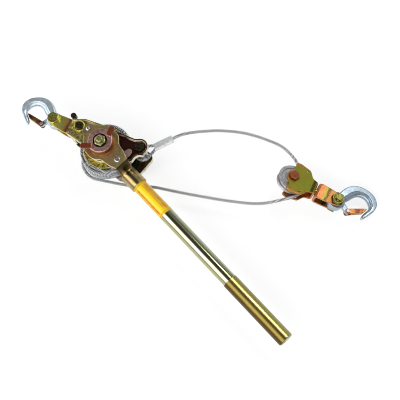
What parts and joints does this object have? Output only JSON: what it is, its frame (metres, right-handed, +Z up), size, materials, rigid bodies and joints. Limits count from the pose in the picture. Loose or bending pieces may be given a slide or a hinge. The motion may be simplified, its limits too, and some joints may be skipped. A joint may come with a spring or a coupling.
{
  "type": "come along winch",
  "caption": "Hand ratchet cable puller with a tubular lever, a wire rope doubled over a sheave block, and two latched hooks.",
  "frame": {"origin": "centre of the axle bolt head's flat outer face, on the drum axis, the face that the winch lies down on", "axes": "+Z up the drum axis, from the bolt head to the axle nut; +X along the pull, from the fixed hook to the travelling hook; +Y to the rope anchor's side"},
  "size_m": [0.5679, 0.2898, 0.1066],
  "materials": {
    "zinc_gold_plate": "yellow-green iridescent zinc plate, satin",
    "zinc_olive_plate": "olive iridescent zinc plate, satin",
    "copper_toned_plate": "copper-toned zinc plate, glossy",
    "bluish_zinc_forging": "bright bluish zinc over a forged skin",
    "bright_zinc_steel": "bright zinc plate",
    "tube_gold_zinc": "mirror-bright green-gold zinc on drawn tube",
    "sleeve_brown_zinc": "brown-gold zinc on drawn tube",
    "yellow_label_film": "printed yellow film, bare of any wording",
    "pressed_aluminium": "pressed, bright",
    "galvanised_wire_rope": "galvanised strands",
    "bronze_bush": "oiled bearing bronze",
    "yellow_spring_wire": "yellow zinc on spring wire"
  },
  "bodies": {
    "frame": {"front_side_plate": "zinc_olive_plate", "back_side_plate": "zinc_olive_plate", "axle_bolt": "bright_zinc_steel", "axle_nut": "zinc_gold_plate", "front_axle_washer": "zinc_gold_plate", "front_shoulder_bush": "bright_zinc_steel", "back_shoulder_bush": "bright_zinc_steel", "anchor_bolt": "zinc_olive_plate", "anchor_nut": "zinc_gold_plate", "anchor_spacer": "bright_zinc_steel", "rope_thimble": "bright_zinc_steel", "rope_eye": "galvanised_wire_rope", "rope_ferrule": "pressed_aluminium", "pawl_pin": "zinc_olive_plate", "pawl_spring": "yellow_spring_wire", "rope_run": "galvanised_wire_rope", "block_strap": "zinc_olive_plate", "sheave_pin": "zinc_gold_plate", "sheave_pin_nut": "zinc_gold_plate"},
    "drum": {"drum_core": "bright_zinc_steel", "drum_bush": "bronze_bush", "drum_flanges": "zinc_gold_plate", "ratchet_wheels": "zinc_gold_plate", "rope_lower_layers": "galvanised_wire_rope", "rope_outer_layer": "galvanised_wire_rope"},
    "handle": {"front_yoke_leg": "zinc_gold_plate", "back_yoke_leg": "zinc_gold_plate", "yoke_rivets": "zinc_gold_plate", "drive_pawl_pins": "zinc_gold_plate", "handle_tube": "tube_gold_zinc", "grip_sleeve": "sleeve_brown_zinc", "handle_label": "yellow_label_film"},
    "drive_pawl": {"drive_pawl": "copper_toned_plate"},
    "release_disc": {"release_disc": "copper_toned_plate"},
    "holding_pawl": {"holding_pawl": "zinc_olive_plate"},
    "fixed_clevis": {"fixed_swivel_stud": "zinc_gold_plate", "fixed_clevis": "zinc_gold_plate", "fixed_clevis_bolt": "zinc_gold_plate", "fixed_clevis_nut": "zinc_gold_plate"},
    "fixed_hook": {"fixed_hook": "bluish_zinc_forging", "fixed_latch_pin": "bright_zinc_steel"},
    "fixed_latch": {"fixed_latch": "copper_toned_plate", "fixed_latch_spring": "bright_zinc_steel"},
    "sheave": {"sheave": "bright_zinc_steel", "sheave_bush": "bronze_bush"},
    "moving_clevis": {"moving_swivel_stud": "zinc_gold_plate", "moving_clevis": "copper_toned_plate", "moving_clevis_bolt": "zinc_gold_plate", "moving_clevis_nut": "zinc_gold_plate"},
    "moving_hook": {"moving_hook": "bluish_zinc_forging", "moving_latch_pin": "bright_zinc_steel"},
    "moving_latch": {"moving_latch": "zinc_gold_plate", "moving_latch_spring": "bright_zinc_steel"}
  },
  "joints": [
    {"name": "handle_swing", "type": "hinge", "parent": "frame", "child": "handle", "pos_m": [0, 0, 0.0465], "axis": [0, 0, 1], "range_deg": [-90, 0], "deforming": ["rope_run"]},
    {"name": "drum_turn", "type": "hinge", "parent": "frame", "child": "drum", "pos_m": [0, 0, 0.0465], "axis": [0, 0, 1], "continuous": true, "deforming": ["rope_run"]},
    {"name": "drive_pawl_tilt", "type": "hinge", "parent": "handle", "child": "drive_pawl", "pos_m": [0.03165, -0.01564, 0.0465], "axis": [0, 0, 1], "range_deg": [-16, 0]},
    {"name": "release_disc_turn", "type": "hinge", "parent": "handle", "child": "release_disc", "pos_m": [0, 0, 0.0465], "axis": [0, 0, 1], "range_deg": [-25, 25]},
    {"name": "holding_pawl_tilt", "type": "hinge", "parent": "frame", "child": "holding_pawl", "pos_m": [-0.046, 0.016, 0.0465], "axis": [0, 0, 1], "range_deg": [0, 13], "stiffness_Nm_per_rad": 0.05, "springref_deg": -20.05},
    {"name": "fixed_swivel", "type": "hinge", "parent": "frame", "child": "fixed_clevis", "pos_m": [-0.064, 0.015, 0.0465], "axis": [-0.9925, 0.1219, 0], "continuous": true},
    {"name": "fixed_hook_tilt", "type": "hinge", "parent": "fixed_clevis", "child": "fixed_hook", "pos_m": [-0.09775, 0.01914, 0.0465], "axis": [0, 0, 1], "range_deg": [-70, 70]},
    {"name": "fixed_latch_open", "type": "hinge", "parent": "fixed_hook", "child": "fixed_latch", "pos_m": [-0.11595, 0.00707, 0.0465], "axis": [0, 0, -1], "range_deg": [0, 40], "stiffness_Nm_per_rad": 0.02, "springref_deg": -20.05},
    {"name": "sheave_turn", "type": "hinge", "parent": "frame", "child": "sheave", "pos_m": [0.2803, 0.0524, 0.0412], "axis": [0.2216, 0.402, 0.8884], "continuous": true},
    {"name": "moving_swivel", "type": "hinge", "parent": "frame", "child": "moving_clevis", "pos_m": [0.31735, 0.04857, 0.03369], "axis": [0.9751, -0.1008, -0.1977], "continuous": true},
    {"name": "moving_hook_tilt", "type": "hinge", "parent": "moving_clevis", "child": "moving_hook", "pos_m": [0.35051, 0.04514, 0.02697], "axis": [-0.2137, -0.1869, -0.9588], "range_deg": [-70, 70]},
    {"name": "moving_latch_open", "type": "hinge", "parent": "moving_hook", "child": "moving_latch", "pos_m": [0.37166, 0.03684, 0.02387], "axis": [0.2137, 0.1869, 0.9588], "range_deg": [0, 40], "stiffness_Nm_per_rad": 0.02, "springref_deg": -20.05}
  ]
}
